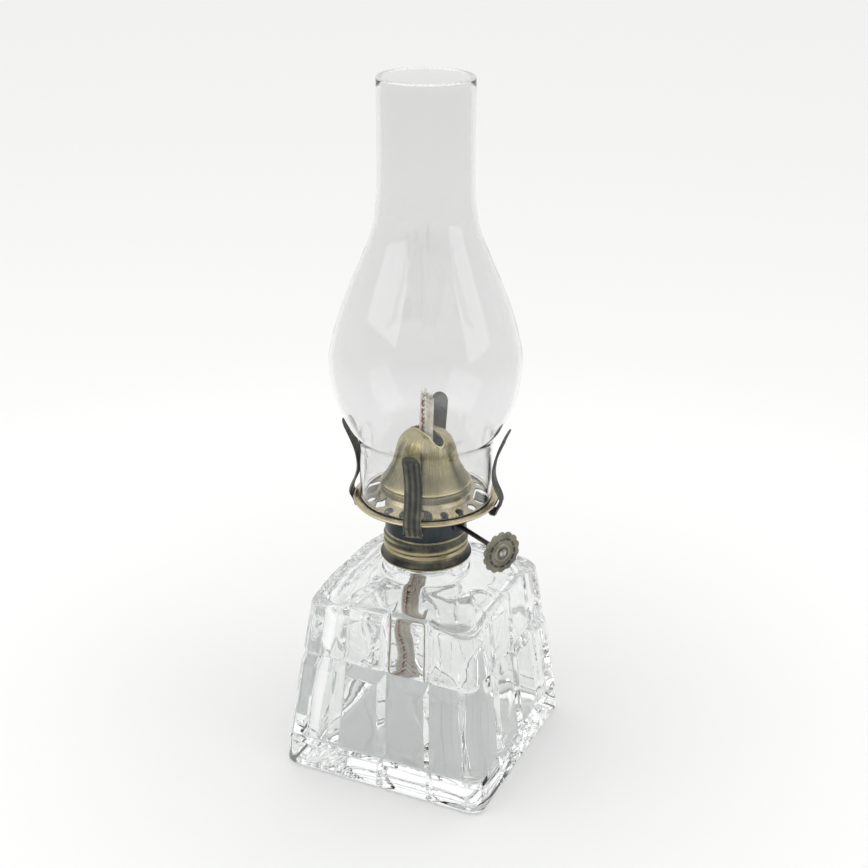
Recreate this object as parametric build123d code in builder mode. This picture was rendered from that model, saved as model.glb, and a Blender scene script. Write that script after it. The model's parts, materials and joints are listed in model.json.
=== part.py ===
"""Oil lamp: square pressed-glass font, screw-on flat-wick burner and bulged glass chimney.

Millimetres, +Z up. The origin is the centre of the font's foot, on the surface it stands on.
The font's faces look along X and Y. The burner is turned about Z where its thread leaves it.
Profiles of revolution are drawn in the XZ plane, as (radius, height).
"""
import os
from math import cos, pi, radians, sin, sqrt

from build123d import *

os.makedirs("parts", exist_ok=True)

# Font: three tiers of raised panels on a tapering square block.
# Each tier is (bottom height, top height, half width at the bottom, half width at the top).
font_tiers = ((0.0, 17.7, 56.4, 55.5), (17.7, 65.2, 55.4, 49.9), (65.2, 96.6, 49.5, 46.1))
groove_depth = 1.3
groove_half_width = 1.9
foot_edge_radius = 2.4
corner_radius_foot = 6.5
corner_radius_top = 9.0
font_wall = 5.5
font_floor = 9.0
cavity_corner_radius = 16.0

# Neck of the font, with the glass thread that the burner screws onto.
neck_root_height = 104.3
neck_radius = 21.5
neck_ledge_height = 109.6
finish_radius = 19.9
finish_top = 125.4
neck_bore_radius = 16.8
thread_pitch = 3.7
thread_crest_radius = 20.75
thread_span = (119.4, 124.1)
thread_phase = (-65.2, 120.6)

# Screw cap, a stamping of thin brass.
cap_sheet = 0.45
cap_skirt_radius = 21.7
cap_thread_radius = 20.95
cap_rib_radius = 21.6
cap_rib_span = (117.0, 124.6)
cap_bottom = 112.8
cap_ledge_underside = 126.6
cap_ledge_top = 127.1
cap_ledge_inner_radius = 18.2
curl_radius = 0.9
curl_centre = (22.5, 112.75)
gasket_gap = 0.3

# Burner. The winding shaft leaves it along shaft_azimuth and the prongs stand between.
shaft_azimuth = -30.2
prong_azimuths = {"front": -75.2, "right": 14.8, "back": 104.8, "left": 194.8}
drum_radius = 20.8
drum_sheet = 0.45
drum_top = 149.0
draught_hole_radius = 1.3
draught_hole_count = 20
draught_hole_height = 141.0

# Flat wick and the tube that guides it.
wick_width = 11.0
wick_thickness = 2.6
wick_corner = 0.9
wick_top = 198.0
wick_bend_height = 108.5
wick_drift_azimuth = 204.8
# The wick's tail, from the bend down, as (height, drift from the axis, turn from the tube).
wick_tail = ((108.5, 0.0, 0), (99.0, 3.2, 0), (88.0, 7.0, 10), (70.0, 9.5, 25), (50.0, 9.0, 35))
wick_tail += ((34.0, 8.0, 35),)
tube_bore = (11.8, 3.4)
tube_wall = 0.45
tube_bottom = 119.0
tube_top = 168.0
tube_corner = 1.6
vent_radius = 1.6
vent_wall = 0.4
vent_offset = -8.5
vent_bottom = 118.0
vent_length = 28.0
plate_sheet = 0.6

# Winding shaft, beside the wick, with two toothed wheels that bite it through the tube.
shaft_height = 134.0
shaft_offset = 5.2
shaft_radius = 1.22
shaft_clearance = 0.05
shaft_inner_end = -9.0
bracket_width = 13.6
bracket_height = 10.0
bracket_sheet = 0.6
bush_radius = 2.4
bush_flange_radius = 3.3
bush_length = 3.0
toothed_wheel_radius = 3.6
tooth_depth = 1.1
toothed_wheel_thickness = 1.2
toothed_wheel_place = 3.2
toothed_wheel_teeth = 11
window_gap = 0.6
window_height = 5.2
wheel_face = 57.4
wheel_thickness = 1.4
wheel_radius = 10.65
wheel_scallops = 14
scallop_radius = 1.6
scallop_inset = 1.05
hub_radius = 2.6
hub_length = 2.0
boss_ring = (3.4, 4.6)
grip_circle = 7.2
grip_count = 12
grip_size = (2.6, 0.8)
relief_height = 0.4
rivet_radius = 2.0
rivet_height = 0.9

# Gallery that carries the chimney, and the dome over the wick tube.
gallery_sheet = 0.6
gallery_seat_height = 145.2
gallery_bore_radius = 17.6
rim_circle = 36.2
rim_roll_radius = 0.75
air_hole_radius = 1.9
air_hole_circle = 28.4
air_hole_step = 16.5
diamond_circle = 26.8
diamond_side = 4.8
slot_length = 16.0
slot_width = 7.0
slot_circle = 28.0
dome_sheet = 0.5
dome_slot = (23.6, 5.6)
dome_slot_shift = 1.3
dome_outline = [(22.9, 0.0), (22.9, 3.4), (22.3, 5.0), (20.4, 7.4), (18.6, 10.6), (17.2, 13.8), (16.2, 17.0)]
dome_outline += [(15.3, 20.6), (14.2, 24.2), (12.4, 27.2), (9.4, 29.4), (5.0, 30.5), (0.0, 30.8)]

# Prongs: fluted spring strips, hooked under the gallery's slots. Their side view is drawn
# as (radius, height): the outer line from the foot up, and the hook's middle line.
prong_width = 9.0
prong_sheet = 0.8
flute_height = 0.3
flute_width = 1.3
flute_places = (-2.8, 0.0, 2.8)
prong_outline = [(36.0, 137.3), (37.4, 140.6), (38.9, 143.6), (38.3, 147.2), (35.6, 153.6), (34.7, 159.5)]
prong_outline += [(35.8, 167.0), (38.8, 175.0), (42.6, 183.0)]
hook_outline = [(35.6, 137.6), (33.7, 138.0), (32.0, 141.8), (30.4, 143.8), (25.0, 146.1)]
hook_width = 9.0

# Chimney: a lamp glass of the size made for a 66.7 mm gallery.
chimney_foot = 145.5
chimney_foot_radius = 33.35
chimney_wall = 1.8
chimney_top = 354.4
chimney_top_radius = 23.0
chimney_bulge = [(33.35, 171.5), (34.5, 178.2), (39.0, 185.2), (44.9, 199.2), (47.45, 216.0), (45.8, 228.2)]
chimney_bulge += [(41.8, 242.3), (36.5, 256.2), (30.6, 270.0), (25.6, 283.5), (23.2, 299.0), (22.8, 318.0)]


def radial_plane(azimuth):
    """Upright plane through the lamp's axis: x runs outwards at this azimuth and y is up."""
    a = radians(azimuth)
    return Plane(origin=(0, 0, 0), x_dir=(cos(a), sin(a), 0), z_dir=(sin(a), -cos(a), 0))


def level_plane(height, azimuth=0.0):
    """Level plane at this height, with x turned to this azimuth."""
    a = radians(azimuth)
    return Plane(origin=(0, 0, height), x_dir=(cos(a), sin(a), 0), z_dir=(0, 0, 1))


def shaft_plane(distance):
    """Plane square to the winding shaft, centred on it, at this distance from the lamp's axis."""
    a = radians(shaft_azimuth)
    x = cos(a) * distance - sin(a) * shaft_offset
    y = sin(a) * distance + cos(a) * shaft_offset
    return Plane(origin=(x, y, shaft_height), x_dir=(-sin(a), cos(a), 0), z_dir=(cos(a), sin(a), 0))


def thread_ridge(root_radius, crest_radius, root_half, crest_half, span):
    """Right-hand helical ridge of trapezoid section over this span of height, as its own solid."""
    height = span[1] - span[0]
    azimuth = thread_phase[0] + (span[0] - thread_phase[1]) / thread_pitch * 360
    with BuildPart() as ridge:
        with BuildLine() as path:
            Helix(thread_pitch, height, root_radius, center=(0, 0, span[0]))
        start = Plane(path.line @ 0, x_dir=(1, 0, 0), z_dir=path.line % 0)
        reach = crest_radius - root_radius
        with BuildSketch(start):
            with BuildLine():
                Polyline(
                    (0, -root_half), (reach, -crest_half), (reach, crest_half), (0, root_half), close=True
                )
            make_face()
        sweep(path=path.line, is_frenet=True)
    return ridge.part.rotate(Axis.Z, azimuth)


def save(builder, label):
    """Name a finished piece and write it as one STEP file."""
    builder.part.label = label
    export_step(builder.part, "parts/" + label + ".step")


def corner_radius(height):
    """Radius of the font's upright corners, which grow rounder towards the shoulder."""
    share = height / font_tiers[-1][1]
    return corner_radius_foot + share * (corner_radius_top - corner_radius_foot)


def font_sections():
    """Level sections of the font's outside, from the foot to the neck, as (height, half, corner)."""
    sections = [(0.0, font_tiers[0][2] - foot_edge_radius), (0.7, font_tiers[0][2] - 0.7)]
    for index, (bottom, top, half_bottom, half_top) in enumerate(font_tiers):
        first = foot_edge_radius if index == 0 else bottom + groove_half_width
        last = top - groove_half_width
        slope = (half_bottom - half_top) / (top - bottom)
        sections.append((first, half_bottom - slope * (first - bottom)))
        sections.append((last, half_bottom - slope * (last - bottom)))
        if index < len(font_tiers) - 1:
            sections.append((top, half_top - groove_depth))
    outside = [(height, half, corner_radius(height)) for height, half in sections]
    shoulder = font_tiers[-1][1]
    outside += [(shoulder, 45.3, 9.5), (shoulder + 1.6, 42.5, 10.5), (shoulder + 3.6, 36.0, 14.0)]
    outside += [(shoulder + 5.6, 28.5, 19.0), (neck_root_height, 22.0, 21.95)]
    return outside


def cavity_sections():
    """Level sections of the space inside the font, from its floor to the neck bore."""
    low = font_tiers[0][2] - font_wall
    high = font_tiers[-1][3] - font_wall
    shoulder = font_tiers[-1][1]
    corner = cavity_corner_radius
    return [
        (font_floor, low - 8.0, corner),
        (font_floor + 2.0, low - 3.5, corner),
        (font_floor + 6.0, low - 1.5, corner),
        (shoulder - 8.0, high - 0.5, corner),
        (shoulder - 3.0, high - 4.5, corner),
        (shoulder + 0.5, high - 11.5, corner),
        (shoulder + 3.0, 20.5, corner),
        (shoulder + 4.6, neck_bore_radius, neck_bore_radius - 0.05),
    ]


def side_groove_half(height):
    """Distance from the axis to the roots of the upright grooves in the font's sides."""
    first = font_tiers[0]
    last = font_tiers[-1]
    slope = (first[2] - last[3]) / (last[1] - first[0])
    return first[2] - slope * height - groove_depth


glass_thread = thread_ridge(finish_radius - 0.3, thread_crest_radius, 1.0, 0.4, thread_span)

with BuildPart() as font:
    for height, half, corner in font_sections():
        with BuildSketch(Plane.XY.offset(height)):
            RectangleRounded(2 * half, 2 * half, corner)
    loft(ruled=True)
    with BuildSketch(Plane.XY.offset(neck_root_height - 3)):
        Circle(neck_radius)
    extrude(amount=neck_ledge_height - neck_root_height + 3)
    with BuildSketch(Plane.XY.offset(neck_ledge_height)):
        Circle(finish_radius)
    extrude(amount=finish_top - neck_ledge_height)
    for height, half, corner in cavity_sections():
        with BuildSketch(Plane.XY.offset(height)):
            RectangleRounded(2 * half, 2 * half, corner)
    loft(ruled=True, mode=Mode.SUBTRACT)
    with BuildSketch(Plane.XY.offset(font_tiers[-1][1] + 3)):
        Circle(neck_bore_radius)
    extrude(until=Until.LAST, mode=Mode.SUBTRACT)
    for quarter in range(4):
        for share in (-0.5, 0.0, 0.5):
            for height in (-1.0, font_tiers[-1][1] + 3):
                root = side_groove_half(height)
                middle = share * root
                with BuildSketch(level_plane(height, 90 * quarter)):
                    with BuildLine():
                        Polyline(
                            (root, middle),
                            (root + 4, middle + 4),
                            (root + 4, middle - 4),
                            close=True,
                        )
                    make_face()
            loft(mode=Mode.SUBTRACT)
    add(glass_thread)
save(font, "font")

with BuildPart() as neck_gasket:
    with BuildSketch(Plane.XY.offset(finish_top + gasket_gap)):
        Circle(finish_radius + 0.1)
        Circle(neck_bore_radius + 0.4, mode=Mode.SUBTRACT)
    extrude(amount=cap_ledge_underside - finish_top - 2 * gasket_gap)
save(neck_gasket, "neck_gasket")

rib_outside = thread_ridge(cap_thread_radius - 0.2, cap_rib_radius, 1.7, 0.75, cap_rib_span)
rib_inside = thread_ridge(
    cap_thread_radius - cap_sheet - 0.3, cap_rib_radius - cap_sheet, 1.6, 0.75, cap_rib_span
)

with BuildPart() as screw_cap:
    skirt_top = cap_rib_span[0] + 1.1
    with BuildSketch(Plane.XZ):
        with BuildLine():
            Polyline(
                (0, cap_bottom - 0.4),
                (cap_skirt_radius, cap_bottom - 0.4),
                (cap_skirt_radius, skirt_top),
                (cap_thread_radius, skirt_top + 0.75),
                (cap_thread_radius, cap_ledge_top),
                (0, cap_ledge_top),
                close=True,
            )
        make_face()
        with Locations(curl_centre):
            Circle(curl_radius)
    revolve(axis=Axis.Z)
    add(rib_outside)
    with BuildSketch(Plane.XZ):
        with BuildLine():
            Polyline(
                (0, cap_bottom - 2),
                (cap_skirt_radius - cap_sheet, cap_bottom - 2),
                (cap_skirt_radius - cap_sheet, skirt_top),
                (cap_thread_radius - cap_sheet, skirt_top + 0.75),
                (cap_thread_radius - cap_sheet, cap_ledge_underside),
                (cap_ledge_inner_radius, cap_ledge_underside),
                (cap_ledge_inner_radius, cap_ledge_top + 1),
                (0, cap_ledge_top + 1),
                close=True,
            )
        make_face()
    revolve(axis=Axis.Z, mode=Mode.SUBTRACT)
    add(rib_inside, mode=Mode.SUBTRACT)
save(screw_cap, "screw_cap")

with BuildPart() as burner_drum:
    with BuildSketch(Plane.XY.offset(cap_ledge_top)):
        Circle(drum_radius)
        Circle(drum_radius - drum_sheet, mode=Mode.SUBTRACT)
    extrude(amount=drum_top - cap_ledge_top)
    for index in range(draught_hole_count):
        azimuth = shaft_azimuth + 360 / draught_hole_count * (index + 0.5)
        outwards = (cos(radians(azimuth)), sin(radians(azimuth)), 0)
        with BuildSketch(Plane(origin=(0, 0, draught_hole_height), z_dir=outwards)):
            Circle(draught_hole_radius)
        extrude(amount=2 * drum_radius, mode=Mode.SUBTRACT)
    with BuildSketch(shaft_plane(0)):
        Circle(bush_radius)
    extrude(amount=2 * drum_radius, mode=Mode.SUBTRACT)
save(burner_drum, "burner_drum")

tube_outside = (tube_bore[0] + 2 * tube_wall, tube_bore[1] + 2 * tube_wall)

with BuildPart() as tube_plate:
    with BuildSketch(level_plane(cap_ledge_top, shaft_azimuth)):
        Circle(drum_radius - drum_sheet)
        RectangleRounded(*tube_outside, tube_corner, mode=Mode.SUBTRACT)
        with Locations((0, vent_offset)):
            Circle(vent_radius, mode=Mode.SUBTRACT)
    extrude(amount=plate_sheet)
save(tube_plate, "tube_plate")

with BuildPart() as wick_tube:
    with BuildSketch(level_plane(tube_bottom, shaft_azimuth)):
        RectangleRounded(*tube_outside, tube_corner)
        RectangleRounded(*tube_bore, tube_corner - tube_wall, mode=Mode.SUBTRACT)
    extrude(amount=tube_top - tube_bottom)
    with BuildSketch(radial_plane(shaft_azimuth)):
        with Locations((-toothed_wheel_place, shaft_height), (toothed_wheel_place, shaft_height)):
            Rectangle(toothed_wheel_thickness + 2 * window_gap, window_height)
    extrude(amount=-tube_outside[1], mode=Mode.SUBTRACT)
save(wick_tube, "wick_tube")

with BuildPart() as vent_tube:
    with BuildSketch(level_plane(vent_bottom, shaft_azimuth)):
        with Locations((0, vent_offset)):
            Circle(vent_radius)
            Circle(vent_radius - vent_wall, mode=Mode.SUBTRACT)
    extrude(amount=vent_length)
save(vent_tube, "vent_tube")

with BuildPart() as shaft_bracket:
    tube_face = tube_outside[1] / 2
    depth = shaft_offset + toothed_wheel_radius + 1.0 - tube_face
    with BuildSketch(level_plane(shaft_height - bracket_height / 2, shaft_azimuth)):
        with Locations((0, tube_face + depth / 2)):
            Rectangle(bracket_width, depth)
        with Locations((0, tube_face + (depth - bracket_sheet) / 2)):
            Rectangle(bracket_width - 2 * bracket_sheet, depth - bracket_sheet, mode=Mode.SUBTRACT)
    extrude(amount=bracket_height)
    with BuildSketch(shaft_plane(0)):
        Circle(shaft_radius + shaft_clearance)
    extrude(amount=bracket_width, both=True, mode=Mode.SUBTRACT)
save(shaft_bracket, "shaft_bracket")

bush_place = sqrt(drum_radius**2 - shaft_offset**2)

with BuildPart() as shaft_bush:
    with BuildSketch(shaft_plane(bush_place - bush_length / 2)):
        Circle(bush_radius)
    extrude(amount=bush_length)
    with BuildSketch(shaft_plane(drum_radius + 0.1)):
        Circle(bush_flange_radius)
    extrude(amount=bracket_sheet)
    with BuildSketch(shaft_plane(bush_place)):
        Circle(shaft_radius + shaft_clearance)
    extrude(amount=2 * bush_length, both=True, mode=Mode.SUBTRACT)
save(shaft_bush, "shaft_bush")

with BuildPart() as wick_shaft:
    with BuildSketch(shaft_plane(shaft_inner_end)):
        Circle(shaft_radius)
    extrude(amount=wheel_face - shaft_inner_end)
save(wick_shaft, "wick_shaft")

for name, place in (("inner", -toothed_wheel_place), ("outer", toothed_wheel_place)):
    star = []
    for step in range(2 * toothed_wheel_teeth):
        radius = toothed_wheel_radius - (step % 2) * tooth_depth
        angle = pi / toothed_wheel_teeth * step
        star.append((radius * cos(angle), radius * sin(angle)))
    with BuildPart() as toothed_wheel:
        with BuildSketch(shaft_plane(place - toothed_wheel_thickness / 2)):
            with BuildLine():
                Polyline(*star, close=True)
            make_face()
            Circle(shaft_radius, mode=Mode.SUBTRACT)
        extrude(amount=toothed_wheel_thickness)
    save(toothed_wheel, "toothed_wheel_" + name)

with BuildPart() as thumbwheel:
    with BuildSketch(shaft_plane(wheel_face - wheel_thickness)):
        Circle(wheel_radius)
        with PolarLocations(wheel_radius + scallop_inset, wheel_scallops):
            Circle(scallop_radius, mode=Mode.SUBTRACT)
    extrude(amount=wheel_thickness)
    with BuildSketch(shaft_plane(wheel_face - wheel_thickness - hub_length)):
        Circle(hub_radius)
    extrude(amount=hub_length)
    with BuildSketch(shaft_plane(wheel_face)):
        Circle(boss_ring[1])
        Circle(boss_ring[0], mode=Mode.SUBTRACT)
        with PolarLocations(grip_circle, grip_count):
            SlotOverall(*grip_size)
    extrude(amount=relief_height)
    with BuildSketch(shaft_plane(wheel_face)):
        Circle(shaft_radius)
    extrude(amount=-wheel_thickness - hub_length, mode=Mode.SUBTRACT)
save(thumbwheel, "thumbwheel")

with BuildPart() as wheel_rivet:
    with BuildSketch(shaft_plane(wheel_face)):
        Circle(rivet_radius)
    extrude(amount=rivet_height)
    outer_edge = wheel_rivet.edges().filter_by(GeomType.CIRCLE).sort_by(Axis.X)[-1]
    fillet(outer_edge, radius=0.8 * rivet_height)
save(wheel_rivet, "wheel_rivet")

gallery_upper_side = [
    (gallery_bore_radius, drum_top + gallery_sheet),
    (23.3, drum_top + gallery_sheet),
    (24.6, gallery_seat_height + 2.5),
    (30.6, gallery_seat_height),
    (34.6, gallery_seat_height),
    (35.2, gallery_seat_height - gallery_sheet),
    (rim_circle, gallery_seat_height - gallery_sheet),
]
gallery_underside = [(radius, height - gallery_sheet) for radius, height in reversed(gallery_upper_side)]

with BuildPart() as gallery:
    with BuildSketch(Plane.XZ):
        with BuildLine():
            Polyline(*gallery_upper_side, *gallery_underside, close=True)
        make_face()
        with Locations((rim_circle, gallery_seat_height - 0.8)):
            Circle(rim_roll_radius)
    revolve(axis=Axis.Z)
    for azimuth in prong_azimuths.values():
        with BuildSketch(level_plane(gallery_seat_height, azimuth)):
            with Locations((slot_circle, 0)):
                SlotOverall(slot_length, slot_width, rotation=90)
        extrude(amount=gallery_seat_height, both=True, mode=Mode.SUBTRACT)
    for quarter in range(4):
        for step in (-1, 0, 1):
            azimuth = shaft_azimuth + 90 * quarter + air_hole_step * step
            with BuildSketch(level_plane(gallery_seat_height, azimuth)):
                if step == 0 and quarter % 2 == 1:
                    with Locations((diamond_circle, 0)):
                        Rectangle(diamond_side, diamond_side, rotation=45)
                else:
                    with Locations((air_hole_circle, 0)):
                        Circle(air_hole_radius)
            extrude(amount=gallery_seat_height, both=True, mode=Mode.SUBTRACT)
save(gallery, "gallery")


def bell(inset):
    """Solid bell of the dome's outline, drawn in by the inset."""
    base = drum_top + gallery_sheet
    points = [(max(radius - inset, 0), base + height - inset) for radius, height in dome_outline]
    with BuildPart() as solid:
        with BuildSketch(Plane.XZ):
            with BuildLine():
                Line(points[0], points[1])
                Spline(*points[1:])
                Line(points[-1], (0, points[0][1]))
                Line((0, points[0][1]), points[0])
            make_face()
        revolve(axis=Axis.Z)
    return solid.part


dome_bell = bell(0)
dome_space = bell(dome_sheet)

with BuildPart() as dome:
    add(dome_bell)
    add(dome_space, mode=Mode.SUBTRACT)
    with BuildSketch(level_plane(tube_top + 3, shaft_azimuth)):
        with Locations((dome_slot_shift, 0)):
            SlotOverall(*dome_slot)
    extrude(amount=20, mode=Mode.SUBTRACT)
save(dome, "dome")


for name, azimuth in prong_azimuths.items():
    with BuildPart() as prong:
        for width, places, outset in ((prong_width, (0,), 0), (flute_width, flute_places, flute_height)):
            for place in places:
                with BuildSketch(radial_plane(azimuth).offset(place)):
                    with BuildLine():
                        outer = Spline(*[(radius + outset, height) for radius, height in prong_outline])
                        inner = Spline(*[(radius - prong_sheet, height) for radius, height in prong_outline])
                        Line(outer @ 1, inner @ 1)
                        Line(outer @ 0, inner @ 0)
                    make_face()
                extrude(amount=width / 2, both=True)
        with BuildSketch(radial_plane(azimuth)):
            with BuildLine():
                Polyline(*hook_outline)
                offset(amount=prong_sheet / 2, side=Side.BOTH)
            make_face()
        extrude(amount=hook_width / 2, both=True)
    save(prong, "prong_" + name)

with BuildPart() as wick:
    with BuildSketch(level_plane(wick_bend_height, shaft_azimuth)):
        RectangleRounded(wick_width, wick_thickness, wick_corner)
    extrude(amount=wick_top - wick_bend_height)
    for height, drift, turn in wick_tail:
        section = level_plane(height, shaft_azimuth + turn)
        section.origin = radial_plane(wick_drift_azimuth).from_local_coords((drift, height, 0))
        with BuildSketch(section):
            RectangleRounded(wick_width, wick_thickness, wick_corner)
    loft()
save(wick, "wick")

with BuildPart() as chimney:
    inner_bulge = [(radius - chimney_wall, height) for radius, height in reversed(chimney_bulge)]
    with BuildSketch(Plane.XZ):
        with BuildLine():
            foot_outer = (chimney_foot_radius, chimney_foot)
            foot_inner = (chimney_foot_radius - chimney_wall, chimney_foot)
            rim_outer = (chimney_top_radius, chimney_top)
            rim_inner = (chimney_top_radius - chimney_wall, chimney_top)
            Line(foot_outer, chimney_bulge[0])
            Spline(*chimney_bulge)
            Polyline(chimney_bulge[-1], rim_outer, rim_inner, inner_bulge[0])
            Spline(*inner_bulge)
            Polyline(inner_bulge[-1], foot_inner, foot_outer)
        make_face()
    revolve(axis=Axis.Z)
save(chimney, "chimney")
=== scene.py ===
import json
import random
from math import atan2, cos, pi, radians, sin, sqrt

import bpy
import numpy as np
from mathutils import Matrix, Vector


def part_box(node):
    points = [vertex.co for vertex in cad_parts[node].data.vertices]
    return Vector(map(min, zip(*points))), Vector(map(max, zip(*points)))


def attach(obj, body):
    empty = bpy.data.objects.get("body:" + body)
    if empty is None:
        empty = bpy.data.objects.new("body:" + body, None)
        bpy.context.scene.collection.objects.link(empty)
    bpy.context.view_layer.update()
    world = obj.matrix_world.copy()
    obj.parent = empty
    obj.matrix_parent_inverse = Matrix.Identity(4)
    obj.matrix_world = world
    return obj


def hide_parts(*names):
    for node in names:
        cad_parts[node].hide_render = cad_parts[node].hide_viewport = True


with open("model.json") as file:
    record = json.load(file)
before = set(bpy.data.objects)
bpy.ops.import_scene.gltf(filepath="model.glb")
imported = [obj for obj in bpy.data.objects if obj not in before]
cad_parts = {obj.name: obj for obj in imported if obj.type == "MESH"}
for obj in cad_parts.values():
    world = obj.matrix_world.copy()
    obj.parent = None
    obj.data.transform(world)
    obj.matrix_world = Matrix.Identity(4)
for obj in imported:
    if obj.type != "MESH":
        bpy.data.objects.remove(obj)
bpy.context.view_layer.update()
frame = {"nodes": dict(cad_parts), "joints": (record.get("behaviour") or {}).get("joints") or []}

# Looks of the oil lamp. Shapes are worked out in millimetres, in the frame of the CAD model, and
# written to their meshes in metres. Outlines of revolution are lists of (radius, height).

MM = 0.001
random.seed(7)


def node_box(node):
    """Lowest and highest corner of a CAD node, in millimetres."""
    low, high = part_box(node)
    return np.array(low) / MM, np.array(high) / MM


joints = {joint["name"]: joint for joint in frame["joints"]}
shaft_point = np.array(joints["wick_turn"]["pos_m"]) / MM
shaft_outwards = -np.array(joints["wick_turn"]["axis"])
shaft_azimuth = atan2(shaft_outwards[1], shaft_outwards[0])
prong_azimuths = {}
for side in ("front", "right", "back", "left"):
    hinge = joints["prong_" + side + "_flex"]["pos_m"]
    prong_azimuths[side] = atan2(hinge[1], hinge[0])


# ---------------------------------------------------------------- curves and meshes

def curve_through(points, steps):
    """Points of a smooth curve through these points, with this many steps in each span."""
    points = np.array(points, float)
    ends = np.vstack([2 * points[0] - points[1], points, 2 * points[-1] - points[-2]])
    line = []
    for span in range(len(points) - 1):
        a, b, c, d = ends[span:span + 4]
        for step in range(steps):
            t = step / steps
            line.append(0.5 * (2 * b + (c - a) * t + (2 * a - 5 * b + 4 * c - d) * t**2
                               + (3 * b - a - 3 * c + d) * t**3))
    line.append(points[-1])
    return np.array(line)


def straight(start, end, steps):
    """Evenly spaced points from start to end, without the end."""
    start, end = np.array(start, float), np.array(end, float)
    return [start + (end - start) * step / steps for step in range(steps)]


def arc(centre, radius, first, last, steps):
    """Points of an arc, from one angle to another in degrees, both ends included."""
    angles = [radians(first + (last - first) * step / steps) for step in range(steps + 1)]
    return [np.array((centre[0] + radius * cos(a), centre[1] + radius * sin(a))) for a in angles]


def grid_faces(rows, columns, wrap=False):
    """Quads over rings of vertices, numbered ring by ring; wrap joins the last ring to the first."""
    faces = []
    for row in range(rows if wrap else rows - 1):
        above = (row + 1) % rows
        for column in range(columns):
            beside = (column + 1) % columns
            faces.append((row * columns + column, row * columns + beside,
                          above * columns + beside, above * columns + column))
    return faces


def full_turn(count):
    """Evenly spaced angles round a full turn."""
    return np.linspace(0, 2 * pi, count, endpoint=False)


def polar(angles, reach, height):
    """Points at a distance out from the axis and a height, at each angle."""
    return np.column_stack([reach * np.cos(angles), reach * np.sin(angles),
                            np.broadcast_to(height, angles.shape)])


def turned(profile, columns, swell=None, wrap=False):
    """Vertices and faces of a profile turned about Z.

    swell(angles, radius, height) adds to the radius."""
    angles = full_turn(columns)
    rows = []
    for radius, height in profile:
        reach = radius + swell(angles, radius, height) if swell else radius
        rows.append(polar(angles, reach, height))
    return np.vstack(rows), grid_faces(len(profile), columns, wrap)


def joined(parts):
    """One list of vertices and faces from several."""
    vertices, faces = [], []
    for part_vertices, part_faces in parts:
        faces += [tuple(len(vertices) + corner for corner in face) for face in part_faces]
        vertices += [tuple(v) for v in part_vertices]
    return vertices, faces


def tube_faces(rows, columns):
    """Quads round a closed tube of rings, and a face over each end."""
    ends = [tuple(reversed(range(columns))), tuple(range((rows - 1) * columns, rows * columns))]
    return grid_faces(rows, columns) + ends


def at_azimuth(azimuth, radius, across, height):
    """Points at these distances out from the axis and across, in the upright plane at an azimuth."""
    return np.column_stack([radius * cos(azimuth) - across * sin(azimuth),
                            radius * sin(azimuth) + across * cos(azimuth), height])


def add_object(name, data):
    """New object in the scene."""
    thing = bpy.data.objects.new(name, data)
    bpy.context.scene.collection.objects.link(thing)
    return thing


def shade_smooth(mesh, sharp):
    """Smooth shading, but for edges sharper than this many degrees."""
    mesh.polygons.foreach_set("use_smooth", [True] * len(mesh.polygons))
    mesh.set_sharp_from_angle(angle=radians(sharp))


def add_piece(name, vertices, faces, material, body, replaced, sharp, wear_and_painted_light=None):
    """New mesh piece, from millimetres, riding on a CAD body and standing for CAD nodes.

    The last values say at each vertex how far use has polished the patina off, from 0 to 1; they also
    carry painted highlights (high) and painted shade (low)."""
    mesh = bpy.data.meshes.new(name)
    mesh.from_pydata([tuple(v) for v in np.array(vertices) * MM], [], faces)
    mesh.update()
    if wear_and_painted_light is not None:
        attribute = mesh.attributes.new("wear_and_painted_light", "FLOAT", "POINT")
        attribute.data.foreach_set("value", np.clip(np.ravel(wear_and_painted_light), 0, 1).astype(np.float32))
    piece = add_object(name, mesh)
    mesh.materials.append(material)
    shade_smooth(mesh, sharp)
    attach(piece, body)
    if replaced:
        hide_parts(*replaced)
    return piece


def apply_modifiers(piece):
    """Turn the piece's modifiers into its mesh."""
    evaluated = piece.evaluated_get(bpy.context.evaluated_depsgraph_get())
    mesh = bpy.data.meshes.new_from_object(evaluated)
    piece.modifiers.clear()
    piece.data = mesh
    shade_smooth(mesh, 40)


def thicken(piece, sheet):
    """Give a surface the thickness of sheet metal, inwards from it."""
    solid = piece.modifiers.new("sheet", "SOLIDIFY")
    solid.thickness = sheet * MM
    solid.offset = -1
    solid.use_even_offset = True
    apply_modifiers(piece)


def cut_holes(piece, cutters):
    """Cut closed cutter shapes, given as (vertices, faces) in millimetres, out of a piece."""
    vertices, faces = joined(cutters)
    mesh = bpy.data.meshes.new("cutters")
    mesh.from_pydata([tuple(np.array(v) * MM) for v in vertices], [], faces)
    cutter = add_object("cutters", mesh)
    boolean = piece.modifiers.new("holes", "BOOLEAN")
    boolean.operation = "DIFFERENCE"
    boolean.solver = "EXACT"
    boolean.object = cutter
    apply_modifiers(piece)
    bpy.data.objects.remove(cutter)


def prism(outline, centre, azimuth, low, high):
    """Closed upright prism over an outline whose x runs outwards at this azimuth."""
    along = np.array((cos(azimuth), sin(azimuth)))
    across = np.array((-sin(azimuth), cos(azimuth)))
    points = [centre * along + x * along + y * across for x, y in outline]
    count = len(points)
    vertices = [(*p, low) for p in points] + [(*p, high) for p in points]
    return vertices, tube_faces(2, count)


def ridge(distance, root_half, crest_half):
    """Trapezoid section: 1 on the crest, 0 beyond the root."""
    return np.clip((root_half - np.abs(distance)) / (root_half - crest_half), 0, 1)


def helix_distance(angles, height, pitch, phase_angle, phase_height):
    """Height above the nearest turn of a right-hand helix."""
    turn = height - phase_height - pitch * (angles - phase_angle) / (2 * pi)
    return turn - pitch * np.round(turn / pitch)


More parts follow.
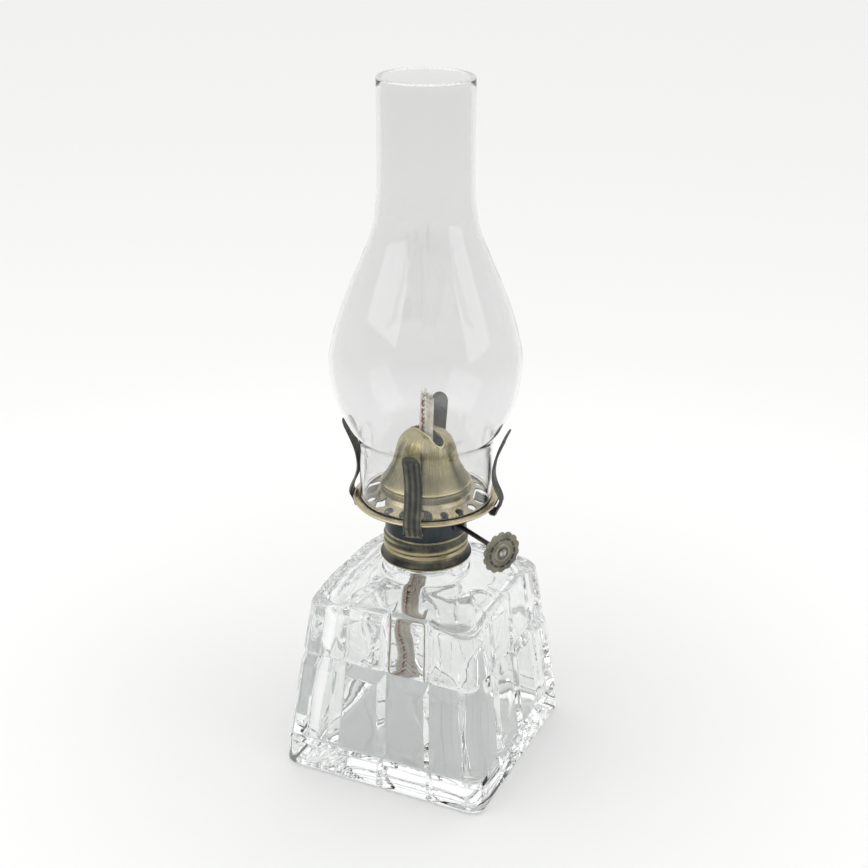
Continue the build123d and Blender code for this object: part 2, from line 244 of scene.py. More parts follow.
def ramp(value, low, high):
    """0 below low, 1 above high, smooth between."""
    t = np.clip((value - low) / (high - low), 0, 1)
    return t * t * (3 - 2 * t)


# ---------------------------------------------------------------- materials

class Nodes:
    """A node tree with short ways to add and join nodes."""

    def __init__(self, tree):
        self.tree = tree
        tree.nodes.clear()

    def add(self, kind, inputs=None, **settings):
        node = self.tree.nodes.new(kind)
        for key, value in settings.items():
            setattr(node, key, value)
        for key, value in (inputs or {}).items():
            self.give(node.inputs[key], value)
        return node

    def give(self, socket, value):
        if isinstance(value, bpy.types.NodeSocket):
            self.tree.links.new(value, socket)
        else:
            socket.default_value = value

    def noise(self, scale, detail, vector, roughness=0.55):
        inputs = {"Scale": scale, "Detail": detail, "Roughness": roughness, "Vector": vector}
        return self.add("ShaderNodeTexNoise", inputs).outputs["Fac"]

    def about_half(self, value, weight):
        """How far a value is above one half, weighted."""
        return self.math("MULTIPLY", self.math("SUBTRACT", value, 0.5), weight)

    def math(self, operation, a, b):
        return self.add("ShaderNodeMath", {0: a, 1: b}, operation=operation).outputs[0]

    def span(self, value, low, high, to_low=0.0, to_high=1.0):
        node = self.add("ShaderNodeMapRange", interpolation_type="SMOOTHSTEP")
        for key, given in zip(("Value", "From Min", "From Max", "To Min", "To Max"),
                              (value, low, high, to_low, to_high)):
            self.give(node.inputs[key], given)
        return node.outputs[0]

    def mix(self, share, a, b):
        node = self.add("ShaderNodeMix", data_type="RGBA")
        self.give(node.inputs[0], share)
        self.give(node.inputs[6], a)
        self.give(node.inputs[7], b)
        return node.outputs[2]

    def object_coords(self):
        return self.add("ShaderNodeTexCoord").outputs["Object"]

    def bump(self, height, strength, distance):
        return self.add("ShaderNodeBump", {"Height": height, "Strength": strength,
                                           "Distance": distance}).outputs[0]

    def wear_and_painted_light(self):
        return self.add("ShaderNodeAttribute", attribute_name="wear_and_painted_light").outputs["Fac"]

    def open_share(self, distance):
        """How open a point is to its surroundings, within a distance."""
        return self.add("ShaderNodeAmbientOcclusion", {"Distance": distance}, samples=8).outputs["AO"]

    def surface(self, shader, output="ShaderNodeOutputMaterial"):
        """Join the last shader to a new output."""
        self.add(output, {"Surface": shader.outputs[0]})

    def principled(self, inputs):
        """Principled shader as the surface."""
        self.surface(self.add("ShaderNodeBsdfPrincipled", inputs))


def new_material(name):
    """Empty material and its nodes."""
    material = bpy.data.materials.new(name)
    material.use_nodes = True
    return material, Nodes(material.node_tree)


def glass_material(name, tint, shadow_tint, ripple_scale, ripple, drawn=1.0):
    """Clear glass with faint ripples, longer upwards where it was drawn out when it was blown.

    Shadow rays pass straight through, so lights reach inside."""
    material, nodes = new_material(name)
    coords = nodes.add("ShaderNodeMapping", {"Vector": nodes.object_coords(),
                                             "Scale": (1.0, 1.0, 1.0 / drawn)})
    waves = nodes.noise(ripple_scale, 2.0, coords.outputs[0])
    glass = nodes.add("ShaderNodeBsdfPrincipled", {
        "Base Color": tint, "Roughness": 0.0, "IOR": 1.51, "Transmission Weight": 1.0,
        "Normal": nodes.bump(waves, ripple, 0.001)})
    clear = nodes.add("ShaderNodeBsdfTransparent", {"Color": shadow_tint})
    path = nodes.add("ShaderNodeLightPath")
    both = nodes.add("ShaderNodeMixShader", {0: path.outputs["Is Shadow Ray"],
                                             1: glass.outputs[0], 2: clear.outputs[0]})
    nodes.surface(both)
    return material


def rim_material(name):
    """End of a lamp glass, finely grained, made bright and slightly milky as a painted highlight of the
    light its rounded rim catches.
    """
    material, nodes = new_material(name)
    grind = nodes.noise(1800.0, 3.0, nodes.object_coords())
    colour = nodes.mix(nodes.span(grind, 0.35, 0.65), (0.88, 0.9, 0.89, 1), (0.97, 0.98, 0.975, 1))
    nodes.principled({
        "Base Color": colour,
        "Roughness": nodes.span(grind, 0.3, 0.7, 0.22, 0.38), "IOR": 1.51, "Transmission Weight": 0.45,
        "Normal": nodes.bump(grind, 0.1, 0.0002)})
    return material


def brass_material(name, bright, dull, patina_and_shade, roughness, streak, relief=False):
    """Antiqued brass: uneven patina, painted shade where nearby surfaces close it in, and faint drawing
    marks.

    With relief, the mesh's per-vertex attribute says where the patina is polished off, and where
    highlights and shade are painted."""
    material, nodes = new_material(name)
    coords = nodes.object_coords()
    split = nodes.add("ShaderNodeSeparateXYZ", {0: coords})
    angle = nodes.math("ARCTAN2", split.outputs["Y"], split.outputs["X"])
    drawn = nodes.add("ShaderNodeCombineXYZ", {"X": nodes.math("MULTIPLY", angle, 9.0),
                                               "Y": nodes.math("MULTIPLY", split.outputs["Z"], 22.0)})
    streaks = nodes.noise(3.2, 5.0, drawn.outputs[0], 0.7)
    clouds = nodes.noise(85.0, 6.0, coords, 0.6)
    specks = nodes.noise(1500.0, 3.0, coords)
    patina = nodes.math("ADD", nodes.math("MULTIPLY", clouds, 1.0 - streak),
                        nodes.math("MULTIPLY", streaks, streak))
    patina = nodes.math("ADD", patina, nodes.about_half(specks, 0.22))
    if relief:
        # Low values reach the darkest colour, which is patina and also painted shade where the mesh
        # marks it.
        patina = nodes.math("ADD", patina, nodes.about_half(nodes.wear_and_painted_light(), 0.55))
        colour = nodes.mix(nodes.span(patina, 0.12, 0.45), patina_and_shade, dull)
        colour = nodes.mix(nodes.span(patina, 0.42, 0.72), colour, bright)
    else:
        colour = nodes.mix(nodes.span(patina, 0.36, 0.62), dull, bright)
    # Painted shade: darker where nearby surfaces close the point in.
    colour = nodes.mix(nodes.span(nodes.open_share(0.0022), 0.25, 0.9), patina_and_shade, colour)
    rough = nodes.span(patina, 0.3, 0.7, roughness + 0.1, roughness - 0.05)
    grain = nodes.add("ShaderNodeMapping", {"Vector": drawn.outputs[0], "Scale": (14.0, 3.0, 1.0)})
    fine = nodes.noise(6.0, 3.0, grain.outputs[0])
    nodes.principled({
        "Base Color": colour, "Metallic": 1.0, "Roughness": rough,
        "Normal": nodes.bump(nodes.math("ADD", fine, specks), 0.05, 0.0003)})
    return material


def steel_material(name):
    """Peened rivet steel, dulled in its hollows."""
    material, nodes = new_material(name)
    dents = nodes.noise(420.0, 3.0, nodes.object_coords())
    colour = nodes.mix(nodes.span(dents, 0.35, 0.65), (0.2, 0.19, 0.17, 1), (0.55, 0.53, 0.48, 1))
    nodes.principled({
        "Base Color": colour,
        "Metallic": 1.0, "Roughness": nodes.span(dents, 0.3, 0.7, 0.42, 0.25),
        "Normal": nodes.bump(dents, 0.35, 0.0004)})
    return material


def cotton_material(name, light, shade, below_burner_darkening=0.0, braided=False):
    """Spun cotton yarn: soft, matt, with fibre-sized variation.

    It is darker below the burner by a given share, with painted shade where nearby yarns close it in
    and, if braided, where a yarn dives under the others."""
    material, nodes = new_material(name)
    coords = nodes.object_coords()
    fibres = nodes.noise(2600.0, 4.0, coords)
    patches = nodes.noise(140.0, 3.0, coords)
    mottle = nodes.math("ADD", nodes.math("MULTIPLY", fibres, 0.6), nodes.math("MULTIPLY", patches, 0.4))
    colour = nodes.mix(nodes.span(mottle, 0.35, 0.62), shade, light)
    deep = tuple(0.3 * part for part in shade[:3]) + (1.0,)
    # Painted shade: darker where nearby yarns close the point in.
    colour = nodes.mix(nodes.span(nodes.open_share(0.0016), 0.15, 0.85), deep, colour)
    if braided:
        # Painted shade: darker where a yarn dives under the others, and on the core.
        colour = nodes.mix(nodes.span(nodes.wear_and_painted_light(), 0.1, 0.6), deep, colour)
    height = nodes.add("ShaderNodeSeparateXYZ", {0: coords}).outputs["Z"]
    # Darker below the burner, by the given share.
    colour = nodes.mix(nodes.span(height, 0.1, 0.135, below_burner_darkening, 0.0), colour, deep)
    nodes.principled({
        "Base Color": colour, "Roughness": 0.92, "Sheen Weight": 0.35, "Sheen Roughness": 0.5,
        "Normal": nodes.bump(fibres, 0.5, 0.0003)})
    return material


pressed_glass = glass_material("pressed_glass", (0.942, 0.952, 0.948, 1), (0.8, 0.81, 0.81, 1),
                               160.0, 0.02)
# The lamp glass's grey tint is painted shade, standing for the dark surroundings mirrored in the tube.
lamp_glass = glass_material("lamp_glass", (0.87, 0.874, 0.872, 1), (0.95, 0.955, 0.955, 1),
                            70.0, 0.05, drawn=9.0)
rim_glass = rim_material("rim_glass")
antique_brass = brass_material("antique_brass", (0.45, 0.385, 0.23, 1), (0.24, 0.21, 0.13, 1),
                               (0.06, 0.055, 0.04, 1), 0.34, 0.3)
dome_brass = brass_material("dome_brass", (0.56, 0.485, 0.275, 1), (0.235, 0.21, 0.12, 1),
                            (0.07, 0.066, 0.048, 1), 0.3, 0.6, relief=True)
cap_brass = brass_material("cap_brass", (0.36, 0.315, 0.185, 1), (0.115, 0.11, 0.088, 1),
                           (0.022, 0.023, 0.024, 1), 0.34, 0.15, relief=True)
wheel_brass = brass_material("wheel_brass", (0.27, 0.255, 0.19, 1), (0.15, 0.145, 0.12, 1),
                             (0.03, 0.03, 0.032, 1), 0.4, 0.0, relief=True)
gallery_brass = brass_material("gallery_brass", (0.56, 0.49, 0.33, 1), (0.27, 0.24, 0.165, 1),
                               (0.05, 0.048, 0.038, 1), 0.32, 0.25, relief=True)
# Painted shade: near-black brass for the drum and bush, which sit in shadow under the gallery.
dark_brass = brass_material("dark_brass", (0.05, 0.058, 0.062, 1), (0.03, 0.037, 0.042, 1),
                            (0.012, 0.013, 0.015, 1), 0.36, 0.2)
shaft_metal = brass_material("shaft_metal", (0.13, 0.12, 0.115, 1), (0.075, 0.07, 0.068, 1),
                             (0.02, 0.02, 0.02, 1), 0.36, 0.1)
# The prongs' tones are darkened as painted shade, standing for the dark surroundings their faces mirror.
prong_bronze = brass_material("prong_bronze", (0.26, 0.235, 0.15, 1), (0.1, 0.102, 0.09, 1),
                              (0.045, 0.05, 0.048, 1), 0.36, 0.0, relief=True)
rivet_steel = steel_material("rivet_steel")
cotton = cotton_material("cotton", (0.92, 0.88, 0.78, 1), (0.56, 0.49, 0.38, 1), 0.5, True)
tracer_red = cotton_material("tracer_red", (0.36, 0.045, 0.055, 1), (0.18, 0.02, 0.03, 1), 0.25)
fibre = cotton_material("fibre", (0.5, 0.44, 0.36, 1), (0.36, 0.31, 0.25, 1))


# ---------------------------------------------------------------- font

font_tiers = ((0.0, 17.7, 56.4, 55.5), (17.7, 65.2, 55.4, 49.9), (65.2, 96.6, 49.5, 46.1))
groove_depths = (2.0, 3.3, 3.0)
corner_dip = 3.2
corner_fade = 0.45
foot_groove_share = 0.6
outer_waves, inner_waves = 0.05, 0.45
side_bevels = (1.8, 3.4, 3.2)
top_bevels = (2.2, 5.4, 0.0)
bottom_bevels = (0.0, 2.4, 4.0)
shoulder_height = font_tiers[-1][1]
corner_radii = (6.5, 9.0)
groove_shares = (-0.5, 0.0, 0.5)
neck_radius = 21.5
neck_root_height = 104.3
neck_ledge_height = 109.6
finish_radius = 19.9
finish_top = 125.4
bore_radius = 16.8
thread_pitch = 3.7
thread_span = (119.4, 124.1)
thread_phase = (radians(-65.2), 120.6)
thread_height = 0.85
bevel_steps = np.array((0.0, 0.08, 0.18, 0.3, 0.45, 0.6, 0.8, 0.97, 1.03))
# (half width, height) under the foot, and (step in from the foot's half width, height) at its edge
font_underside = ((12, 1.3), (24, 1.25), (36, 1.1), (44, 0.9), (48, 0.5), (50.5, 0.1),
                  (52, 0.0), (53.6, 0.0))
font_foot_edge = ((2.0, 0.12), (1.3, 0.5), (0.75, 1.05), (0.35, 1.7), (0.1, 2.4))
# (height, half width, corner radius), the shoulder's heights from the shoulder's own
font_shoulder = ((-0.9, 46.1, 9.0), (0, 45.8, 9.0), (0.8, 45.1, 9.2), (1.1, 44.1, 9.4), (0.7, 43.1, 9.8),
                 (0.3, 42.0, 10.1), (0.6, 40.4, 10.8), (1.4, 38.4, 12.0), (3.0, 34.5, 15.0),
                 (4.9, 29.4, 19.0), (6.4, 25.6, 21.0))
font_cavity = ((103.4, 17.2, 17.1), (101.6, 19.0, 18.6), (100.2, 22.5, 20.0), (98.6, 27.0, 18.5),
               (96.4, 32.0, 17.0), (93.4, 36.4, 16.0), (90.0, 38.9, 16.0), (86.0, 40.3, 16.0),
               (70.0, 42.3, 16.0), (50.0, 44.8, 16.0), (30.0, 47.4, 16.0), (17.0, 48.9, 16.0),
               (12.6, 48.0, 16.0), (10.2, 45.6, 16.0), (9.2, 42.0, 16.0), (9.0, 36.0, 14.0),
               (9.0, 24.0, 10.0), (9.1, 12.0, 5.0))


def square_radius(angles, half, corner):
    """Distance from the axis to the outline of a rounded square, at each angle."""
    c, s = np.abs(np.cos(angles)), np.abs(np.sin(angles))
    middle = half - corner
    reach = middle * (c + s)
    arc_radius = reach + np.sqrt(np.maximum(corner**2 - 2 * middle**2 + reach**2, 0))
    flat_radius = half / np.maximum(c, s)
    on_flat = half * np.minimum(c, s) / np.maximum(c, s) <= middle
    return np.where(on_flat, flat_radius, arc_radius)


def from_face(angles):
    """Angle from the middle of the nearest face of the font."""
    return (angles + pi / 4) % (pi / 2) - pi / 4


def font_angles():
    """Angles of the font's columns, closer together beside the upright grooves."""
    near = np.array((0, 0.3, 0.7, 1.15, 1.6, 1.9, 2.4, 3.0, 3.35, 3.75, 4.6, 6.4, 9.0)) / 50
    corner = (0.75, 0.79, 0.82, 0.845, 0.87, 0.895, 0.92, 0.945, 0.97)
    half_face = np.concatenate([near, (0.25,), (0.5 - near), (0.5 + near), corner])
    slopes = np.unique(np.round(np.concatenate([-half_face, half_face, (1.0,)]), 5))
    return np.concatenate([np.arctan(slopes) + quarter * pi / 2 for quarter in range(4)])


def groove_gap(angles, half):
    """Distance along the font's face to the nearest upright groove."""
    across = half * np.tan(from_face(angles))
    return np.min([np.abs(across - share * half) for share in groove_shares], axis=0)


def panel_height(angles, height, tier):
    """How far the panels' surface is sunk, from 0 on the panel to -1 in the groove."""
    bottom, top, half_bottom, half_top = font_tiers[tier]
    half = half_bottom + (half_top - half_bottom) * (height - bottom) / (top - bottom)
    beside = groove_gap(angles, half) / side_bevels[tier]
    below = (height - bottom) / bottom_bevels[tier] if tier > 0 else 9.0
    above = (top - height) / top_bevels[tier] if tier < 2 else 9.0
    shallower = 1 - corner_fade * ramp(np.abs(from_face(angles)), radians(36), radians(43))
    if tier < 2:
        return (np.clip(np.minimum(beside, min(below, above)), 0, 1) - 1) * shallower
    # the top tier's panels have round edges and lower corners
    side_gap = np.clip(1 - beside, 0, None)
    end_gap = max(1 - below, 0)
    rise = np.clip(1 - np.sqrt(side_gap**2 + end_gap**2), 0, 1)
    return (np.sqrt(1 - (1 - rise) ** 2) - 1) * shallower


def glass_waves(angles, height, size):
    """Slow unevenness of pressed glass."""
    slow = 0.55 * np.sin(3 * angles + height / 11 + 0.6) + 0.4 * np.sin(5 * angles - height / 7.5 + 2.1)
    return size * (slow + 0.35 * np.sin(9 * angles + height / 5.2 + 4.0)
                   + 0.25 * np.sin(14 * angles - height / 4 + 1.0))


def font_rows(angles):
    """Rings of the font's glass as (radii, heights): outside from the foot up, then inside down."""
    rows = []
    dip = corner_dip * ramp(np.abs(from_face(angles)), radians(22), radians(44))

    def ring(height, half, corner, sunk=0.0, lowered=0.0):
        sunk = np.broadcast_to(np.asarray(sunk, float), angles.shape)
        rows.append((square_radius(angles, half + sunk, corner + sunk), height - dip * lowered))

    foot_half = font_tiers[0][2]
    for half, height in font_underside:
        ring(height, half, corner_radii[0] * half / foot_half)
    for drop, height in font_foot_edge:
        sunk = foot_groove_share * groove_depths[0] * panel_height(angles, height, 0)
        ring(height, foot_half - drop, corner_radii[0], sunk)
    for tier, (bottom, top, half_bottom, half_top) in enumerate(font_tiers):
        heights = list(bottom + bevel_steps * bottom_bevels[tier]) if tier > 0 else []
        first = bottom + 1.2 * bottom_bevels[tier] if tier > 0 else 3.2
        last = top - 1.2 * top_bevels[tier] if tier < 2 else top - 1.6
        heights += list(np.linspace(first, last, 14 if tier == 1 else 9))
        heights += list(top - bevel_steps[:0:-1] * top_bevels[tier]) if tier < 2 else []
        for height in heights:
            share = (height - bottom) / (top - bottom)
            half = half_bottom + (half_top - half_bottom) * share
            corner = corner_radii[0] + (corner_radii[1] - corner_radii[0]) * height / shoulder_height
            sunk = groove_depths[tier] * panel_height(angles, height, tier)
            sunk = sunk + glass_waves(angles, height, outer_waves)
            ring(height, half, corner, sunk, ramp(height, bottom + 8.0, top) if tier == 2 else 0.0)
    # rolled shoulder, notched where the grooves run out over it, and the pillow up to the neck
    shoulder = [(shoulder_height + above, half, corner) for above, half, corner in font_shoulder]
    shoulder += [(neck_root_height - 0.4, 23.3, 22.6), (neck_root_height + 0.8, 22.3, 22.2),
                 (neck_root_height + 2.0, neck_radius + 0.35, neck_radius + 0.3)]
    top_tier_middle = (shoulder_height + font_tiers[2][0]) / 2
    for height, half, corner in curve_through(shoulder, 4):
        fade = ramp(half, 33.0, 43.0)
        notch = groove_depths[2] * panel_height(angles, top_tier_middle, 2) * fade
        ring(height, half, min(corner, half - 0.001), notch, ramp(half, 24.0, 44.0))
    neck = [(neck_radius, neck_root_height + 3.0), (neck_radius, neck_ledge_height - 1.6),
            (neck_radius - 0.05, neck_ledge_height - 0.9), (neck_radius - 0.4, neck_ledge_height - 0.25),
            (neck_radius - 0.9, neck_ledge_height), (finish_radius + 0.3, neck_ledge_height + 0.05),
            (finish_radius, neck_ledge_height + 0.5)]
    neck += straight((finish_radius, neck_ledge_height + 1.5), (finish_radius, finish_top - 0.5), 40)
    neck += arc((finish_radius - 0.6, finish_top - 0.6), 0.6, 0, 90, 4)
    neck += arc((bore_radius + 0.6, finish_top - 0.6), 0.6, 90, 180, 4)
    neck += straight((bore_radius, finish_top - 1.5), (bore_radius, 104.5), 14)
    for radius, height in neck:
        thread = 0.0
        if radius == finish_radius:
            gap = helix_distance(angles, height, thread_pitch, *thread_phase)
            inside = ramp(height - gap, thread_span[0], thread_span[0] + 0.8)
            inside = inside * (1 - ramp(height - gap, thread_span[1] - 0.8, thread_span[1]))
            thread = thread_height * ridge(gap, 1.1, 0.35) * inside
        ring(height, radius, radius - 0.001, thread)
    for height, half, corner in curve_through(font_cavity, 6):
        fade = ramp(half, 17.0, 30.0)
        ring(height, half, min(corner, half - 0.001), glass_waves(angles, height, inner_waves) * fade)
    return rows


def make_font():
    angles = font_angles()
    rows = [polar(angles, radii, heights) for radii, heights in font_rows(angles)]
    columns = len(angles)
    vertices = np.vstack(rows)
    faces = grid_faces(len(rows), columns)
    under, floor = len(vertices), len(vertices) + 1
    vertices = np.vstack([vertices, (0, 0, 1.3), (0, 0, 9.1)])
    last = (len(rows) - 1) * columns
    for column in range(columns):
        beside = (column + 1) % columns
        faces.append((under, beside, column))
        faces.append((floor, last + column, last + beside))
    add_piece("glass_font", vertices, faces, pressed_glass, "reservoir",
              ["font"], 60)


# ---------------------------------------------------------------- chimney

chimney_wall = 1.8
chimney_top_radius = 23.0
milky_share = 1.7
chimney_bulge = [(33.35, 171.5), (34.5, 178.2), (39.0, 185.2), (44.9, 199.2), (47.45, 216.0),
                 (45.8, 228.2), (41.8, 242.3), (36.5, 256.2), (30.6, 270.0), (25.6, 283.5),
                 (23.2, 299.0), (22.8, 318.0)]


def make_chimney():
    low, high = node_box("chimney")
    foot, top = low[2], high[2]
    foot_radius, top_radius = chimney_bulge[0][0], chimney_top_radius
    rim = chimney_wall / 2
    outside = straight((foot_radius, foot + rim), chimney_bulge[0], 8)
    outside += list(curve_through(chimney_bulge, 10))[:-1]
    outside += straight(chimney_bulge[-1], (top_radius, top - rim), 8)
    inside = [(radius - chimney_wall, height) for radius, height in reversed(outside)]
    profile = outside + arc((top_radius - rim, top - rim), rim, 0, 180, 10)
    profile += inside + arc((foot_radius - rim, foot + rim), rim, 180, 360, 10)

    def unevenness(angles, radius, height):
        drawn = 0.10 * np.sin(2 * angles + height / 40) + 0.07 * np.sin(3 * angles - height / 23 + 1)
        return (drawn + 0.04 * np.sin(7 * angles + height / 15)) * ramp(height, foot + 4, foot + 30)

    vertices, faces = turned(profile, 200, unevenness, wrap=True)
    piece = add_piece("lamp_glass_chimney", vertices, faces, lamp_glass, "lamp_glass",
                      ["chimney"], 60)
    piece.data.materials.append(rim_glass)
    # The milky end is a painted highlight of the rim.
    for polygon in piece.data.polygons:
        if polygon.center.z > (top - milky_share * rim) * MM:
            polygon.material_index = 1


# ---------------------------------------------------------------- dome

dome_slot = (23.6, 5.6)
dome_slot_shift = 1.3
dome_outline = [(22.95, 0.0), (22.95, 1.4), (22.9, 2.7), (22.45, 3.2), (22.4, 3.5), (22.85, 3.9),
                (22.85, 4.3), (22.1, 5.0), (21.4, 5.9), (20.2, 7.6), (18.6, 10.6), (17.2, 13.8),
                (16.2, 17.0), (15.3, 20.6), (14.2, 24.2), (12.4, 27.2), (9.4, 29.4), (5.0, 30.5),
                (0.0, 30.8)]


def slot_radius(angles, margin):
    """Distance from the middle to the outline of the dome's slot, grown by a margin."""
    half_length, half_width = dome_slot[0] / 2 + margin, dome_slot[1] / 2 + margin
    c, s = np.abs(np.cos(angles)), np.maximum(np.abs(np.sin(angles)), 1e-9)
    middle = half_length - half_width
    side = half_width / s
    end = middle * c + np.sqrt(np.maximum(half_width**2 - (middle * s) ** 2, 0))
    return np.where(side * c <= middle, side, end)


def make_dome():
    """Bell drawn from one sheet: beaded foot, dark band above it, and a rolled lip round the slot."""
    base = node_box("dome")[0][2]
    line = curve_through(dome_outline, 6)
    bell_line = line[::-1][line[::-1, 0] < 20]

    def bell(radii):
        return base + np.interp(radii, bell_line[:, 0], bell_line[:, 1])

    columns = 240
    around = full_turn(columns)
    # the slot's ends are sharply curved, so the columns crowd towards them
    local = around - 0.32 * np.sin(2 * around)
    direction = np.column_stack([np.cos(local), np.sin(local)])
    shift = np.array((dome_slot_shift, 0))

    def on_bell(points, lift, wear_and_light_level):
        radii = np.hypot(points[:, 0], points[:, 1])
        rings.append(np.column_stack([points, bell(radii) + lift]))
        wear_and_painted_light.append(np.full(columns, wear_and_light_level))

    rings, wear_and_painted_light = [], []
    slot_edge = slot_radius(local, 0.0)[:, None] * direction + shift
    edge_reach = np.hypot(slot_edge[:, 0], slot_edge[:, 1])
    slope = (bell(edge_reach) - bell(edge_reach + 0.5)) / 0.5
    squeeze = (1 / np.sqrt(1 + slope**2))[:, None]
    # Lip rows as (margin, lift, brightness): the raised crest is painted bright, partly rubbed brass and
    # partly a painted highlight.
    lip = ((-0.25, -1.4, 0.1), (-0.3, -0.8, 0.3), (-0.2, -0.2, 0.9), (0.1, 0.3, 1.1), (0.5, 0.42, 1.0),
           (0.95, 0.25, 0.8), (1.4, 0.04, 0.55))
    for margin, lift, wear_and_light_level in lip:
        on_bell(slot_edge + margin * squeeze * direction, lift, wear_and_light_level)
    outermost = slot_edge + lip[-1][0] * squeeze * direction
    for step in range(1, 15):
        share = step / 14
        on_bell(outermost * (1 - share) + 16.4 * direction * share, 0.0, 0.62)
    for radius, height in line[::-1]:
        if radius > 16.5:
            # The bead is painted bright as a painted highlight and the furrow below it dark as painted
            # shade; the band above is darker.
            band = ramp(height, 4.8, 6.5) * (1 - ramp(height, 10.0, 16.0))
            bead = 1 - ramp(abs(height - 4.1), 0.3, 0.8)
            furrow = 1 - ramp(abs(height - 3.35), 0.15, 0.45)
            rings.append(np.column_stack([radius * direction, np.full(columns, base + height)]))
            wear_and_light_level = 0.6 - 0.2 * band + 0.7 * bead - 0.5 * furrow - 0.1 * (height < 2.8)
            wear_and_painted_light.append(np.full(columns, wear_and_light_level))
    turn = np.array(((cos(shaft_azimuth), sin(shaft_azimuth)),
                     (-sin(shaft_azimuth), cos(shaft_azimuth))))
    vertices = np.vstack(rings[::-1])
    vertices[:, :2] = vertices[:, :2] @ turn
    piece = add_piece("burner_dome", vertices, grid_faces(len(rings), columns), dome_brass, "burner",
                      ["dome"], 50, np.concatenate(wear_and_painted_light[::-1]))
    thicken(piece, 0.5)


# ---------------------------------------------------------------- gallery

gallery_depth = 4.4
gallery_sheet = 0.6
rim_circle = 36.35
rim_roll = 0.55
air_hole_radius = 1.9
air_hole_circle = 28.4
air_hole_step = radians(16.5)


def circle_outline(radius):
    turns = [2 * pi * k / 32 for k in range(32)]
    return [(radius * cos(turn), radius * sin(turn)) for turn in turns]


def slot_outline(across, along):
    """Stadium outline with its length across the radius."""
    radius = across / 2
    reach = along / 2 - radius
    points = [(radius * cos(a), reach + radius * sin(a)) for a in np.linspace(0, pi, 13)]
    points += [(-radius * cos(a), -reach - radius * sin(a)) for a in np.linspace(0, pi, 13)]
    return points


def make_gallery():
    """Dished ring with a rolled rim, holed for air and slotted for the prongs' hooks."""
    top = node_box("gallery")[1][2]
    seat = top - gallery_depth
    upper = [(17.6, top), (22.9, top), (23.4, top - 0.15), (23.8, top - 0.6), (24.3, seat + 2.9),
             (24.7, seat + 2.45), (25.2, seat + 2.15)]
    upper += straight((25.6, seat + 1.98), (30.2, seat + 0.2), 8)
    upper += [(30.6, seat + 0.06), (31.2, seat), (33.6, seat), (34.3, seat - 0.06), (34.9, seat - 0.22),
              (35.4, seat - 0.42)]
    roll = arc((rim_circle, seat - 0.95), rim_roll, 130, -130, 14)
    under = [(radius, height - gallery_sheet) for radius, height in reversed(upper)]
    profile = upper + roll + under
    columns = 240
    vertices, faces = turned(profile, columns, wrap=True)
    # Brightness by ring: the dish is worn, the top of the rolled rim is worn bright and also a painted
    # highlight, and the underside is dark as painted shade.
    rubbed_and_highlit_rim = 8
    ring_wear_and_light = [0.75 if radius < 33 else 0.6 for radius, _height in upper] + [1.0] * rubbed_and_highlit_rim
    ring_wear_and_light += [0.12] * (len(profile) - len(ring_wear_and_light))
    wear_and_painted_light = np.repeat(ring_wear_and_light, columns)
    faces = [tuple(reversed(face)) for face in faces]
    piece = add_piece("burner_gallery", vertices, faces, gallery_brass, "burner",
                      ["gallery"], 35, wear_and_painted_light)
    diamond_reach = 4.8 / sqrt(2)
    diamond = [(diamond_reach, 0), (0, diamond_reach), (-diamond_reach, 0), (0, -diamond_reach)]
    holes = [(slot_outline(7.0, 16.0), 28.0, azimuth) for azimuth in prong_azimuths.values()]
    for quarter in range(4):
        for step in (-1, 0, 1):
            azimuth = shaft_azimuth + quarter * pi / 2 + air_hole_step * step
            if step == 0 and quarter % 2 == 1:
                holes.append((diamond, 26.8, azimuth))
            else:
                holes.append((circle_outline(air_hole_radius), air_hole_circle, azimuth))
    cut_holes(piece, [prism(*hole, seat - 4, top + 3) for hole in holes])


# ---------------------------------------------------------------- prongs

prong_width = 9.0
prong_sheet = 0.8
flute_places = (-2.75, 0.0, 2.75)
flute_half = 1.05
flute_height = 0.5
flute_end_gap = 5.2
hook_flute_height = 0.45
prong_outline = [(36.0, 137.3), (37.4, 140.6), (38.9, 143.6), (38.3, 147.2), (35.6, 153.6),
                 (34.7, 159.5), (35.8, 167.0), (38.8, 175.0), (42.6, 183.0)]
prong_rise = {"front": 1.5}
hook_outline = [(35.6, 137.8), (33.8, 138.0), (32.7, 139.8), (31.9, 142.1), (30.5, 143.9), (28.2, 144.9),
                (25.0, 146.2)]


def flutes(offsets, crest_half):
    """Raised flutes across a strip: 1 on their crests, 0 between them."""
    return np.max([ridge(offsets - middle, flute_half, crest_half) for middle in flute_places], axis=0)


